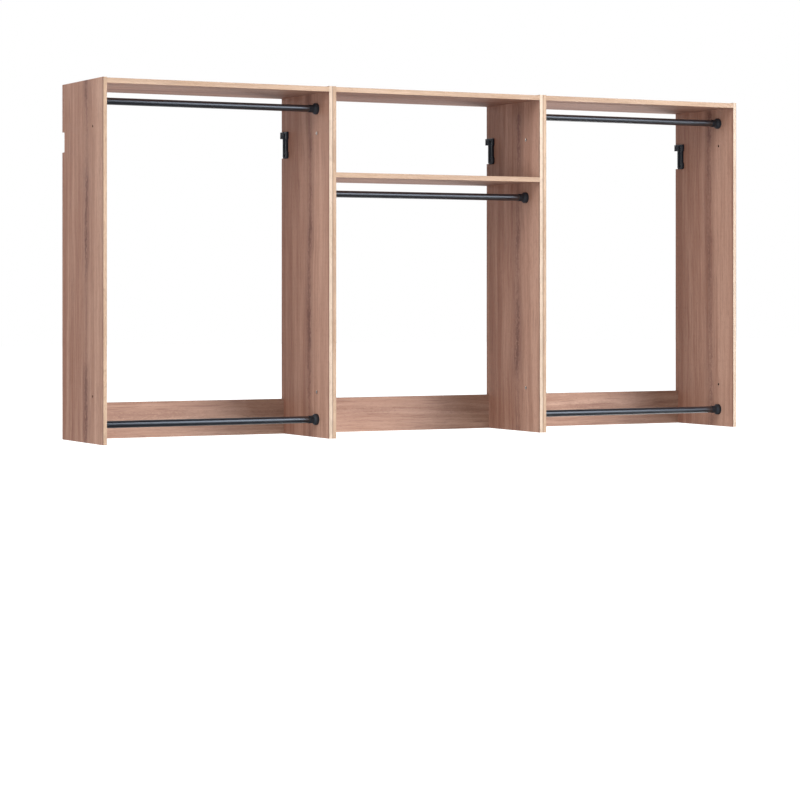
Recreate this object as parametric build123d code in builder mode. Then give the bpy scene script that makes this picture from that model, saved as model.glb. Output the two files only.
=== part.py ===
"""Wall mounted closet system: three open hanging units in a row, bolted together and hung on a wall rail.

Millimetres. X runs along the row to the right, Y towards the wall and Z up. The origin lies on the wall
plane, half way along the row, on the line where the hanging brackets bear on the rail's top edge.
"""
import os

from build123d import *

# Each unit, over its boards
unit_width = 774.7
unit_height = 1117.6
unit_depth = 355.6
unit_names = ["left_unit", "middle_unit", "right_unit"]
unit_count = len(unit_names)

# Boards, and the edge tape glued to their front edges
panel_thickness = 12.7
shelf_thickness = 15.875
back_rail_thickness = 15.875
back_rail_height = 114.3
tape_thickness = 1.0
tape_edge_radius = 0.7
shelf_top_drop = 2.0
cubby_height = 255.0

# The notch in each side panel's rear edge, which lets the wall rail run through
rail_line_drop = 150.0
notch_height = 63.5
notch_depth = 19.05
notch_corner_radius = 3.0

# Hanging rods and their end sockets
rod_radius = 11.1
rod_wall = 1.2
rod_setback = 88.9
rod_drop = 49.0
low_rod_height = 58.0
rod_fit_clearance = 0.08
rod_end_clearance = 1.0
socket_sleeve_length = 31.0
socket_sleeve_wall = 1.2
socket_floor = 4.0
flange_radius = 18.0
flange_thickness = 9.0
flange_shoulder_radius = 3.5
flare_length = 6.0

# Hanging brackets
bracket_thickness = 6.0
bracket_width = 31.0
bracket_overhang = 4.0
bracket_arm_height = 22.0
bracket_foot_height = 20.0
bracket_foot_drop = 2.0
bracket_foot_bevel = 5.0
bracket_corner_radius = 2.5
bracket_edge_bevel = 0.8
groove_width = 11.0
groove_depth = 2.0
groove_end_margin = 5.0
rail_slot_width = 3.0
rail_slot_depth = 8.0
rail_slot_inset = 6.0

# Countersunk screws of the brackets
screw_radius = 2.1
screw_head_radius = 4.2
screw_clearance = 0.05
countersink_angle = 90

# Cams and cam bolts that hold the shelves and back rails between the panels, let in where they show least
cam_radius = 7.4
cam_pocket_radius = 7.5
cam_distance = 24.0
cam_skin = 3.4
cam_slot_width = 1.4
cam_slot_length = 9.0
cam_slot_depth = 2.0
cam_bolt_radius = 3.0
cam_bolt_clearance = 0.05
cam_inset = 60.0

# Bolts and sleeve nuts that join one unit to the next, and their holes
link_hole_radius = 4.0
link_inset = 145.0
link_head_radius = 5.5
link_head_thickness = 1.8
link_head_bevel = 0.8
link_barrel_radius = 3.9
link_bolt_radius = 3.0
link_thread_clearance = 0.05
link_end_gap = 2.0

# Wood left beyond a blind hole, the air left at its bottom, and how far a cut runs past a face
hole_skin = 3.4
hole_end_gap = 0.5
overrun = 5.0

# Places that follow from these sizes
row_half_width = unit_count * unit_width / 2
panel_top = rail_line_drop
panel_bottom = panel_top - unit_height
front_y = -unit_depth
board_depth = unit_depth - tape_thickness
board_front_y = -board_depth
rod_y = front_y + rod_setback
top_shelf_z = panel_top - shelf_top_drop - shelf_thickness
mid_shelf_z = top_shelf_z - cubby_height - shelf_thickness
link_heights = [panel_bottom + link_inset, panel_top - link_inset]
blind_depth = panel_thickness - hole_skin
grip = blind_depth - hole_end_gap
shelf_cam_height = shelf_thickness - cam_skin
rail_cam_height = back_rail_thickness - cam_skin
socket_bore_radius = rod_radius + rod_fit_clearance
sleeve_radius = socket_bore_radius + socket_sleeve_wall
screw_head_height = screw_head_radius - screw_radius

unit_shelves = {
    "left_unit": ["top_shelf"],
    "middle_unit": ["top_shelf", "middle_shelf"],
    "right_unit": ["top_shelf"],
}
shelf_z = {"top_shelf": top_shelf_z, "middle_shelf": mid_shelf_z}
high_rod_z = top_shelf_z - rod_drop
mid_rod_z = mid_shelf_z - rod_drop
low_rod_z = panel_bottom + low_rod_height
unit_rods = {
    "left_unit": {"left_upper_rod": high_rod_z, "left_lower_rod": low_rod_z},
    "middle_unit": {"middle_rod": mid_rod_z},
    "right_unit": {"right_upper_rod": high_rod_z, "right_lower_rod": low_rod_z},
}
sides = {"left": 1, "right": -1}


def unit_start(unit):
    """The outer face of the unit's left panel."""
    return unit_names.index(unit) * unit_width - row_half_width


def inner_face(unit, side):
    """Where the panel's face towards the unit's inside lies along X."""
    if side == "left":
        return unit_start(unit) + panel_thickness
    return unit_start(unit) + unit_width - panel_thickness


def shelf_bolt_rows(unit):
    """The Y and Z of the cam bolts at one end of the unit's shelves."""
    rows = []
    for name in unit_shelves[unit]:
        middle = shelf_z[name] + shelf_thickness / 2
        rows += [(front_y + cam_inset, middle), (-cam_inset, middle)]
    return rows


def rail_bolt_row():
    """The Y and Z of the one cam bolt at each end of a back rail."""
    return -back_rail_thickness / 2, panel_bottom + back_rail_height / 2


def finish(node, name):
    """Label one finished piece and write its file."""
    node.part.label = name
    export_step(node.part, "parts/" + name + ".step")


def turning_plane(x_face, way, y, z):
    """Plane for a profile turned about X: its first axis leaves the face, its second is the radius."""
    return Plane(origin=(x_face, y, z), x_dir=(way, 0, 0), z_dir=(0, -way, 0))


def side_panel(unit, side):
    """A side panel: rear notch, link holes, and blind holes for all that is fixed to its inner face."""
    way = sides[side]
    face = inner_face(unit, side)
    notch_front = -notch_depth
    with BuildPart() as panel:
        with BuildSketch(Plane.YZ.offset(face)):
            with BuildLine():
                FilletPolyline(
                    (board_front_y, panel_bottom), (0, panel_bottom), (0, -notch_height),
                    (notch_front, -notch_height), (notch_front, 0), (0, 0),
                    (0, panel_top), (board_front_y, panel_top),
                    radius=[0, 0, 0, notch_corner_radius, notch_corner_radius, 0, 0, 0],
                    close=True,
                )
            make_face()
        extrude(amount=-way * panel_thickness)
        with BuildSketch(Plane.YZ.offset(face + way * overrun)):
            with Locations(*[(rod_y, z) for z in link_heights]):
                Circle(link_hole_radius)
        extrude(amount=-way * (panel_thickness + 2 * overrun), mode=Mode.SUBTRACT)
        with BuildSketch(Plane.YZ.offset(face)):
            with Locations(*shelf_bolt_rows(unit), rail_bolt_row()):
                Circle(cam_bolt_radius + cam_bolt_clearance)
            with Locations(*bracket_screw_places()):
                Circle(screw_radius + screw_clearance)
        extrude(amount=-way * blind_depth, mode=Mode.SUBTRACT)
    finish(panel, unit + "_" + side + "_panel")


def panel_tape(unit, side):
    """The tape along a side panel's front edge, its two long edges eased."""
    way = sides[side]
    middle = inner_face(unit, side) - way * panel_thickness / 2
    with BuildPart() as tape:
        with BuildSketch(Plane.XY.offset(panel_bottom)):
            with Locations((middle, front_y + tape_thickness / 2)):
                Rectangle(panel_thickness, tape_thickness)
        extrude(amount=unit_height)
        fillet(tape.edges().filter_by(Axis.Z).group_by(Axis.Y)[0], radius=tape_edge_radius)
    finish(tape, unit + "_" + side + "_panel_edge_tape")


def shelf(unit, name):
    """A fixed shelf, with cam pockets in its top at both ends and bores in its ends for the cam bolts."""
    z = shelf_z[name]
    left, right = inner_face(unit, "left"), inner_face(unit, "right")
    middle_x, middle_z = (left + right) / 2, z + shelf_thickness / 2
    cam_rows = [front_y + cam_inset, -cam_inset]
    with BuildPart() as board:
        with BuildSketch(Plane.XY.offset(z)):
            with Locations((middle_x, board_front_y / 2)):
                Rectangle(right - left, board_depth)
        extrude(amount=shelf_thickness)
        with BuildSketch(Plane.XY.offset(z + shelf_thickness)):
            with Locations(*[(x, y) for x in (left + cam_distance, right - cam_distance) for y in cam_rows]):
                Circle(cam_pocket_radius)
        extrude(amount=-shelf_cam_height, mode=Mode.SUBTRACT)
        for side, way in sides.items():
            with BuildSketch(Plane.YZ.offset(inner_face(unit, side))):
                with Locations(*[(y, middle_z) for y in cam_rows]):
                    Circle(cam_bolt_radius + cam_bolt_clearance)
            extrude(amount=way * cam_distance, mode=Mode.SUBTRACT)
    finish(board, unit + "_" + name)
    with BuildPart() as tape:
        with BuildSketch(Plane.YZ.offset(left)):
            with Locations((front_y + tape_thickness / 2, middle_z)):
                Rectangle(tape_thickness, shelf_thickness)
        extrude(amount=right - left)
        fillet(tape.edges().filter_by(Axis.X).group_by(Axis.Y)[0], radius=tape_edge_radius)
    finish(tape, unit + "_" + name + "_edge_tape")


def back_rail(unit):
    """The board between the panels at the bottom of the back, held by one cam at each end."""
    left, right = inner_face(unit, "left"), inner_face(unit, "right")
    bolt_y, cam_z = rail_bolt_row()
    with BuildPart() as board:
        with BuildSketch(Plane.XY.offset(panel_bottom)):
            with Locations(((left + right) / 2, -back_rail_thickness / 2)):
                Rectangle(right - left, back_rail_thickness)
        extrude(amount=back_rail_height)
        with BuildSketch(Plane.XZ):
            with Locations((left + cam_distance, cam_z), (right - cam_distance, cam_z)):
                Circle(cam_pocket_radius)
        extrude(amount=rail_cam_height, mode=Mode.SUBTRACT)
        for side, way in sides.items():
            with BuildSketch(Plane.YZ.offset(inner_face(unit, side))):
                with Locations((bolt_y, cam_z)):
                    Circle(cam_bolt_radius + cam_bolt_clearance)
            extrude(amount=way * cam_distance, mode=Mode.SUBTRACT)
    finish(board, unit + "_back_rail")


def bracket_screw_places():
    """The Y and Z of a bracket's two screws: in the middle of its head, and of its foot."""
    y = -notch_depth - bracket_width / 2
    foot_middle = -notch_height - bracket_foot_drop + bracket_foot_height / 2
    return [(y, bracket_arm_height / 2), (y, foot_middle)]


def hanging_bracket(unit, side):
    """A moulded hook: a grooved plate beside the notch, and an arm over it, slotted for the rail's lip."""
    way = sides[side]
    face = inner_face(unit, side)
    plate_rear = -notch_depth
    plate_front = plate_rear - bracket_width
    head_front = plate_front - bracket_overhang
    foot_bottom = -notch_height - bracket_foot_drop
    foot_top = foot_bottom + bracket_foot_height
    groove_bottom, groove_top = foot_bottom + groove_end_margin, bracket_arm_height - groove_end_margin
    rim = [
        (0, 0), (0, bracket_arm_height), (head_front, bracket_arm_height), (head_front, 0),
        (plate_front, -bracket_overhang), (plate_front, foot_top + bracket_overhang), (head_front, foot_top),
        (head_front, foot_bottom + bracket_foot_bevel), (head_front + bracket_foot_bevel, foot_bottom),
        (plate_rear - bracket_foot_bevel, foot_bottom), (plate_rear, foot_bottom + bracket_foot_bevel),
        (plate_rear, 0),
    ]
    rounded = [2, 3, 6, 7, 8, 9, 10]
    rounds = [bracket_corner_radius if i in rounded else 0 for i in range(len(rim))]
    with BuildPart() as bracket:
        with BuildSketch(Plane.YZ.offset(face)):
            with BuildLine():
                FilletPolyline(*rim, radius=rounds, close=True)
            make_face()
            with Locations((-rail_slot_inset - rail_slot_width / 2, rail_slot_depth / 2 - overrun / 2)):
                Rectangle(rail_slot_width, rail_slot_depth + overrun, mode=Mode.SUBTRACT)
        extrude(amount=way * bracket_thickness)
        outer_rim = bracket.faces().sort_by(Axis.X)[-1 if way > 0 else 0].outer_wire().edges()
        chamfer(outer_rim, length=bracket_edge_bevel)
        with BuildSketch(Plane.YZ.offset(face + way * bracket_thickness)):
            with Locations((plate_rear - bracket_width / 2, (groove_bottom + groove_top) / 2)):
                SlotOverall(groove_top - groove_bottom, groove_width, rotation=90)
        extrude(amount=-way * groove_depth, mode=Mode.SUBTRACT)
        seat = face + way * (bracket_thickness - groove_depth)
        with Locations(*[Plane((seat, y, z), z_dir=(way, 0, 0)) for y, z in bracket_screw_places()]):
            CounterSinkHole(
                screw_radius + screw_clearance, screw_head_radius + screw_clearance,
                counter_sink_angle=countersink_angle,
            )
    finish(bracket, unit + "_" + side + "_hanging_bracket")


def rod_socket(unit, side, rod, z):
    """A closed rod socket, turned: a round-shouldered flange that tapers into a sleeve round the rod's end."""
    way = sides[side]
    plane = turning_plane(inner_face(unit, side), way, rod_y, z)
    outline = [
        (0, 0), (0, flange_radius), (flange_thickness, flange_radius),
        (flange_thickness + flare_length, sleeve_radius),
        (socket_sleeve_length, sleeve_radius), (socket_sleeve_length, socket_bore_radius),
        (socket_floor, socket_bore_radius), (socket_floor, 0),
    ]
    rounds = [flange_shoulder_radius if i == 2 else 0 for i in range(len(outline))]
    with BuildPart() as socket:
        with BuildSketch(plane):
            with BuildLine():
                FilletPolyline(*outline, radius=rounds, close=True)
            make_face()
        revolve(axis=Axis(plane.origin, plane.x_dir))
    finish(socket, rod + "_" + side + "_socket")


def hanging_rod(unit, rod, z):
    """A round tube that ends just clear of the floors of its two sockets."""
    reach = socket_floor + rod_end_clearance
    start, end = inner_face(unit, "left") + reach, inner_face(unit, "right") - reach
    with BuildPart() as tube:
        with BuildSketch(Plane.YZ.offset(start)):
            with Locations((rod_y, z)):
                Circle(rod_radius)
                Circle(rod_radius - rod_wall, mode=Mode.SUBTRACT)
        extrude(amount=end - start)
    finish(tube, rod)


def turned_group(name, places, outline):
    """One turned outline at every place, as separate solids. A place is a face's X, its way out, Y and Z."""
    with BuildPart() as group:
        for face, way, y, z in places:
            plane = turning_plane(face, way, y, z)
            with BuildSketch(plane):
                with BuildLine():
                    Polyline(*outline, close=True)
                make_face()
            revolve(axis=Axis(plane.origin, plane.x_dir))
    finish(group, name)


def bracket_screw():
    """Outline of a countersunk screw that lies flush in the floor of a bracket's groove."""
    seat = bracket_thickness - groove_depth
    return [
        (seat, 0), (seat, screw_head_radius), (seat - screw_head_height, screw_radius),
        (-grip, screw_radius), (-grip, 0),
    ]


def cam_bolt():
    """Outline of a bolt set in a panel, which runs to the rim of its cam."""
    end = cam_distance - cam_radius
    return [(-blind_depth, 0), (-blind_depth, cam_bolt_radius), (end, cam_bolt_radius), (end, 0)]


def link_head():
    """The first corners of both link fasteners' outlines: a low head with a bevelled edge."""
    return [
        (link_head_thickness, 0), (link_head_thickness, link_head_radius - link_head_bevel),
        (link_head_thickness - link_head_bevel, link_head_radius), (0, link_head_radius),
    ]


def link_bolt():
    """Outline of the bolt that joins two units, from its head through both panels."""
    reach = 2 * panel_thickness - link_end_gap
    return link_head() + [(0, link_bolt_radius), (-reach, link_bolt_radius), (-reach, 0)]


def link_nut():
    """Outline of the sleeve nut that takes it, with a barrel that lines both panels' holes."""
    reach = 2 * panel_thickness - link_end_gap
    bore = link_bolt_radius + link_thread_clearance
    return link_head() + [
        (0, link_barrel_radius), (-reach, link_barrel_radius), (-reach, bore), (0, bore), (0, 0),
    ]


def cam_locks(shelf_places, rail_places):
    """Round cams that fill their pockets, with a driver slot in the face that shows."""
    with BuildPart() as cams:
        for face, way, y, z in shelf_places:
            top = Plane.XY.offset(z + shelf_thickness / 2)
            with BuildSketch(top):
                with Locations((face + way * cam_distance, y)):
                    Circle(cam_radius)
            extrude(amount=-shelf_cam_height)
            with BuildSketch(top):
                with Locations((face + way * cam_distance, y)):
                    Rectangle(cam_slot_width, cam_slot_length)
            extrude(amount=-cam_slot_depth, mode=Mode.SUBTRACT)
        for face, way, y, z in rail_places:
            with BuildSketch(Plane.XZ):
                with Locations((face + way * cam_distance, z)):
                    Circle(cam_radius)
            extrude(amount=rail_cam_height)
            with BuildSketch(Plane.XZ):
                with Locations((face + way * cam_distance, z)):
                    Rectangle(cam_slot_width, cam_slot_length)
            extrude(amount=cam_slot_depth, mode=Mode.SUBTRACT)
    finish(cams, "cam_locks")


os.makedirs("parts", exist_ok=True)
bracket_places, shelf_bolt_places, rail_bolt_places = [], [], []
for unit in unit_names:
    for side, way in sides.items():
        face = inner_face(unit, side)
        side_panel(unit, side)
        panel_tape(unit, side)
        hanging_bracket(unit, side)
        bracket_places += [(face, way, y, z) for y, z in bracket_screw_places()]
        shelf_bolt_places += [(face, way, y, z) for y, z in shelf_bolt_rows(unit)]
        rail_bolt_places += [(face, way, *rail_bolt_row())]
    for name in unit_shelves[unit]:
        shelf(unit, name)
    back_rail(unit)
    for rod, z in unit_rods[unit].items():
        hanging_rod(unit, rod, z)
        for side in sides:
            rod_socket(unit, side, rod, z)

turned_group("bracket_screws", bracket_places, bracket_screw())
turned_group("cam_bolts", shelf_bolt_places + rail_bolt_places, cam_bolt())
cam_locks(shelf_bolt_places, rail_bolt_places)

joints = [unit_start(unit) for unit in unit_names[1:]]
bolt_heads = [(joint - panel_thickness, -1, rod_y, z) for joint in joints for z in link_heights]
nut_heads = [(joint + panel_thickness, 1, rod_y, z) for joint in joints for z in link_heights]
turned_group("unit_link_bolts", bolt_heads, link_bolt())
turned_group("unit_link_nuts", nut_heads, link_nut())
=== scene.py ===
# %% [markdown]
# # A wall mounted closet system, dressed for its photograph
#
# The real object is a row of three open units in wood-look laminate. They hang from hooked brackets on
# a wall rail, and carry round black hanging rods in closed sockets. The measured solids come in first
# and never move. The wooden boards among them keep their own shape and only get a finish. The round
# and moulded pieces are made again here with softer edges, driver recesses and smooth turning, each in
# the same place and of the same size. All lengths are metres: X runs along the row, Y towards the wall.

import math

import bmesh
import bpy
import numpy as np
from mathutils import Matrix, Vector
from mathutils.geometry import tessellate_polygon


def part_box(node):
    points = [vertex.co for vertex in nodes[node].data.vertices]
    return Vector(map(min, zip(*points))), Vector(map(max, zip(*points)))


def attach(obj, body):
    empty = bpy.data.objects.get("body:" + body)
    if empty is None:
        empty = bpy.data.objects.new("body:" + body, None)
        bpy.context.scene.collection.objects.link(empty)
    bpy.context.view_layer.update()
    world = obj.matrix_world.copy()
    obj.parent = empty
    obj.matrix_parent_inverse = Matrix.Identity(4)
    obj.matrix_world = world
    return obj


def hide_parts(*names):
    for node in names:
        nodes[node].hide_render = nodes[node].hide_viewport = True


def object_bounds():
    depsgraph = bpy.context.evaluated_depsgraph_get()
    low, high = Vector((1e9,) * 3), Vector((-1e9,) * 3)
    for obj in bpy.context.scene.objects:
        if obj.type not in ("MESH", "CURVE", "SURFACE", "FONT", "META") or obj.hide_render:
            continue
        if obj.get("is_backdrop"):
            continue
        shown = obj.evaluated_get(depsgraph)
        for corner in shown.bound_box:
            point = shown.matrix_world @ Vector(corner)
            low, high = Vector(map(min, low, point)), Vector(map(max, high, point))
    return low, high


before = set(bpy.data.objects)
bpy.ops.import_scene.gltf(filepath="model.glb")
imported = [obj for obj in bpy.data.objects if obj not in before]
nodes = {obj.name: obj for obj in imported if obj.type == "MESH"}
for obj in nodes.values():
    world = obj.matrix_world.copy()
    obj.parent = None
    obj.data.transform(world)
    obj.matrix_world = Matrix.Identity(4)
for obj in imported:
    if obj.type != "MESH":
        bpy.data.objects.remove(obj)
cad_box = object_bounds()
print("measured solids:", len(nodes), "box from", tuple(cad_box[0]), "to", tuple(cad_box[1]))

# %% [markdown]
# ## Names for the places
#
# A maker marks out the pieces from each other, not from the floor. The panels' boxes give the faces
# that the sockets and brackets are fixed to, so every new piece lands on its board without fitting.
# The side says which way a panel's inner face looks: a left panel's looks to the right.

# %% Read the panels' inner faces
MM = 0.001
units = ["left_unit", "middle_unit", "right_unit"]
ways = {"left": 1.0, "right": -1.0}
inner_face = {}
for unit in units:
    for side in ways:
        low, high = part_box(f"{unit}_{side}_panel")
        inner_face[unit, side] = high.x if side == "left" else low.x
print("inner faces:", {" ".join(key): round(x, 4) for key, x in inner_face.items()})

# %% [markdown]
# ## From points to a piece
#
# Each new piece is worked out as arrays of points and faces. One function hands the arrays to Blender,
# joins points that fall together, such as the many points of a pole, and turns all faces outwards.
# Edges sharper than a set angle stay crisp, and the rest are shaded smooth. A second number on every
# point, called worn, says how exposed it is, so that a finish can rub thin along the real edges.

# %% Put a piece together
CRISP_ANGLE = math.radians(38)
SAME_POINT = 2e-6


def make_piece(name, blocks, body, stands_for):
    """Join blocks of (points, faces, worn) into one mesh that rides on a body and replaces its nodes."""
    points, faces, worn = [], [], []
    start = 0
    for block_points, block_faces, block_worn in blocks:
        points.append(block_points)
        worn.append(block_worn)
        faces += [[start + corner for corner in face] for face in block_faces]
        start += len(block_points)
    mesh = bpy.data.meshes.new(name)
    mesh.from_pydata(np.concatenate(points).tolist(), [], faces)
    mesh.attributes.new("worn", "FLOAT", "POINT").data.foreach_set("value", np.concatenate(worn))
    work = bmesh.new()
    work.from_mesh(mesh)
    bmesh.ops.remove_doubles(work, verts=work.verts, dist=SAME_POINT)
    bmesh.ops.recalc_face_normals(work, faces=work.faces)
    work.to_mesh(mesh)
    work.free()
    mesh.shade_smooth()
    mesh.set_sharp_from_angle(angle=CRISP_ANGLE)
    piece = bpy.data.objects.new(name, mesh)
    bpy.context.scene.collection.objects.link(piece)
    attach(piece, body)
    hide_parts(*stands_for)
    print(name, "faces:", len(mesh.polygons), "rides on:", body)
    return piece


def grid_faces(rows, columns, rows_close=False):
    """Quads of a grid whose columns always close on themselves, and whose rows may too. The point in
    row i and column j has the number i times columns plus j, counted round where the grid closes."""
    row = np.arange(rows if rows_close else rows - 1)[:, None]
    column = np.arange(columns)[None, :]
    after, beside = (row + 1) % rows, (column + 1) % columns
    quads = [
        row * columns + column, row * columns + beside,
        after * columns + beside, after * columns + column,
    ]
    return np.stack(np.broadcast_arrays(*quads), axis=-1).reshape(-1, 4).tolist()


print("a grid of 3 rows and 4 columns has", len(grid_faces(3, 4)), "faces")

# %% [markdown]
# ## Rounding a corner
#
# Nothing that is moulded or turned has a truly sharp corner, and the light tells. This rounds chosen
# corners of an outline with a true arc, the way a file or a mould maker's cutter leaves them. The arc
# touches both straight sides, so the outline keeps its measured width and height.

# %% Round the corners of an outline
def rounded(corners, radii, steps=6):
    """Each corner with a radius becomes an arc. Half the turn between its sides, h, gives how far along
    each side the arc starts, radius times tan h, and its centre lies radius over cos h from the corner,
    on the line that halves the angle. The arc's points go evenly from one side to the other."""
    corners = np.asarray(corners, float)
    points = []
    for i, radius in enumerate(radii):
        corner, before, after = corners[i], corners[i - 1], corners[(i + 1) % len(corners)]
        if radius == 0:
            points.append(corner[None, :])
            continue
        to_before = (before - corner) / np.linalg.norm(before - corner)
        to_after = (after - corner) / np.linalg.norm(after - corner)
        half_turn = (math.pi - math.acos(np.clip(to_before @ to_after, -1, 1))) / 2
        middle = (to_before + to_after) / np.linalg.norm(to_before + to_after)
        centre = corner + middle * radius / math.cos(half_turn)
        first = corner + to_before * radius * math.tan(half_turn)
        last = corner + to_after * radius * math.tan(half_turn)
        share = np.linspace(0, 1, steps + 1)[:, None]
        spoke = (1 - share) * (first - centre) + share * (last - centre)
        points.append(centre + radius * spoke / np.linalg.norm(spoke, axis=1, keepdims=True))
    return np.concatenate(points)


trial_square = rounded([(0, 0), (1, 0), (1, 1), (0, 1)], [0.2] * 4)
print("a square with four rounded corners has", len(trial_square), "points")

# %% [markdown]
# ## Turning on a lathe
#
# Rods, sockets, screws and cams are all round, so one lathe makes them. Its profile is a list of
# stations, each with a distance along the axis, a radius, and how exposed it is. A station may also be
# cut to another outline, such as a cross or a hexagon: the radius then follows that outline round the
# axis. That is how a driver recess is sunk into a round head without any cutting tool.

# %% Turn a profile about its axis
def round_outline(angle):
    """Radius one all the way round."""
    return np.ones_like(angle)


def hexagon_outline(angle):
    """Distance from the centre to the sides of a hexagon whose corners lie at one: its half width over
    the cosine of the angle from the middle of the nearest side."""
    sixth = math.pi / 3
    return math.cos(sixth / 2) / np.cos((angle + sixth / 2) % sixth - sixth / 2)


def cross_outline(angle, arm=0.32):
    """A plus sign of arm length one and half width arm. Folded into an eighth of a turn, a ray leaves
    it either through the arm's end, one over the cosine, or through its flank, arm over the sine."""
    folded = np.abs((angle + math.pi / 4) % (math.pi / 2) - math.pi / 4)
    return np.minimum(1 / np.cos(folded), arm / np.maximum(np.sin(folded), arm / 2))


def turned(stations, origin, axis, around=96, outline=round_outline, closed_ring=False):
    """Station (s, r, worn, cut) and angle a give the point origin + s * axis + R * (cos a * u + sin a * v).
    Here u and v are square to the axis, and R is r where cut is 0, and r times the outline at a where
    cut is 1."""
    stations = np.asarray(stations, float)
    axis = np.asarray(axis, float)
    u = np.cross(axis, (0, 0, 1.0) if abs(axis[2]) < 0.5 else (1.0, 0, 0))
    u /= np.linalg.norm(u)
    v = np.cross(axis, u)
    angle = np.linspace(0, 2 * math.pi, around, endpoint=False)
    s, r, worn, cut = stations.T[:, :, None]
    reach = r * (1 - cut + cut * outline(angle))
    points = np.asarray(origin, float) + s[..., None] * axis
    points = points + reach[..., None] * (np.cos(angle)[:, None] * u + np.sin(angle)[:, None] * v)
    worn = np.broadcast_to(worn, reach.shape)
    return points.reshape(-1, 3), grid_faces(len(stations), around, closed_ring), worn.reshape(-1)


def plain_stations(profile, worn_rows=()):
    """Add the worn and cut columns to a plain profile of distances and radii."""
    exposed = np.zeros(len(profile))
    exposed[list(worn_rows)] = 1
    return np.column_stack([profile, exposed, np.zeros(len(profile))])


print("a hexagon with its corners at 1 has its sides at", round(float(hexagon_outline(0.0)), 3))

# %% [markdown]
# ## The hanging rods
#
# The real rods are thin steel tube, sawn to length and coated in gloss black. A plain cylinder would do
# at a glance, but a tube has a wall, and its sawn ends are slightly eased. The profile is the wall's
# own section, a long thin rectangle with small rounds, closed on itself and turned once round. Each
# rod can turn in its sockets, so each rides on its own body.

# %% Make the five rods
ROD_WALL = 1.2 * MM
ROD_EASE = 0.4 * MM
rods = {
    "left_upper_rod": "left_unit",
    "left_lower_rod": "left_unit",
    "middle_rod": "middle_unit",
    "right_upper_rod": "right_unit",
    "right_lower_rod": "right_unit",
}
rod_line = {}
black_rods = []
for rod in rods:
    low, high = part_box(rod)
    radius, length = (high.z - low.z) / 2, high.x - low.x
    middle = (low + high) / 2
    rod_line[rod] = middle
    section = rounded(
        [(0, radius), (length, radius), (length, radius - ROD_WALL), (0, radius - ROD_WALL)], [ROD_EASE] * 4
    )
    start = (low.x, middle.y, middle.z)
    block = turned(plain_stations(section), start, (1, 0, 0), closed_ring=True)
    black_rods.append(make_piece(rod + "_tube", [block], rod, [rod]))

# %% [markdown]
# ## The closed sockets
#
# Each rod end sits in a closed cup of moulded black plastic, screwed to the panel. In the photograph
# it reads as a thick disc with a rounded shoulder that tapers into a short sleeve. It is one turned
# outline with a small round on every corner, a blend where the taper meets the sleeve, and a hollow
# that the rod's end fills. The shoulder and the sleeve's mouth are marked as exposed.

# %% Make the ten sockets
FLANGE_RADIUS, SLEEVE_RADIUS, BORE_RADIUS = 18 * MM, 12.38 * MM, 11.18 * MM
FLANGE_THICKNESS, TAPER_END, CUP_DEPTH, CUP_FLOOR = 9 * MM, 15 * MM, 31 * MM, 4 * MM
FOOT_ROUND, SHOULDER_ROUND, NECK_ROUND = 0.5 * MM, 3.5 * MM, 4 * MM
MOUTH_ROUND, BORE_ROUND, FLOOR_ROUND = 0.5 * MM, 0.3 * MM, 0.8 * MM
WORN_LIP, WORN_RADIUS, WORN_FROM = 0.4 * MM, 16.5 * MM, 6.5 * MM
socket_corners = [
    ((0, 0), 0), ((0, FLANGE_RADIUS), FOOT_ROUND), ((FLANGE_THICKNESS, FLANGE_RADIUS), SHOULDER_ROUND),
    ((TAPER_END, SLEEVE_RADIUS), NECK_ROUND), ((CUP_DEPTH, SLEEVE_RADIUS), MOUTH_ROUND),
    ((CUP_DEPTH, BORE_RADIUS), BORE_ROUND), ((CUP_FLOOR, BORE_RADIUS), FLOOR_ROUND), ((CUP_FLOOR, 0), 0),
]
socket_profile = rounded([c for c, _ in socket_corners], [r for _, r in socket_corners], steps=8)
mouth = np.abs(socket_profile[:, 0] - CUP_DEPTH) < WORN_LIP
shoulder = (socket_profile[:, 1] > WORN_RADIUS) & (socket_profile[:, 0] > WORN_FROM)
socket_stations = plain_stations(socket_profile, np.flatnonzero(mouth | shoulder))
black_sockets = []
for rod, unit in rods.items():
    for side, way in ways.items():
        place = (inner_face[unit, side], rod_line[rod].y, rod_line[rod].z)
        block = turned(socket_stations, place, (way, 0, 0))
        node = f"{rod}_{side}_socket"
        black_sockets.append(make_piece(node + "_cup", [block], "units", [node]))

# %% [markdown]
# ## The fasteners' heads
#
# Seen close, a screw is known by its recess. The bracket screws have a cross, sunk in a flat head that
# lies flush in its countersink. The bolts and sleeve nuts that join two units have low polished heads
# with a hexagon. The cams are round, with a cross, flush with the board. Each profile starts at the
# bottom of the recess, climbs its wall, crosses the face, eases over the rim and closes underneath.

# %% Work out the heads' profiles
CUT, PLAIN = 1.0, 0.0
RECESS_LIP = 0.15 * MM
FLOOR_SHARE, WALL_SHARE, BEVEL_SHARE = 0.72, 0.97, 0.3


def head_stations(face, rim, ease, recess, depth, below):
    """Stations from the recess's floor up over the face and down to the stations below the rim. The
    recess narrows a little towards its floor, and one more station rounds the rim's edge."""
    return [
        (face - depth, 0, 0, CUT), (face - depth, recess * FLOOR_SHARE, 0, CUT),
        (face - RECESS_LIP, recess * WALL_SHARE, 0, CUT), (face, recess + RECESS_LIP, 0.6, CUT),
        (face, (recess + rim) / 2, 0, PLAIN), (face, rim - ease, 0, PLAIN),
        (face - BEVEL_SHARE * ease, rim - BEVEL_SHARE * ease, 1, PLAIN), (face - ease, rim, 0.6, PLAIN),
    ] + [(s, r, 0, PLAIN) for s, r in below]


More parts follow.
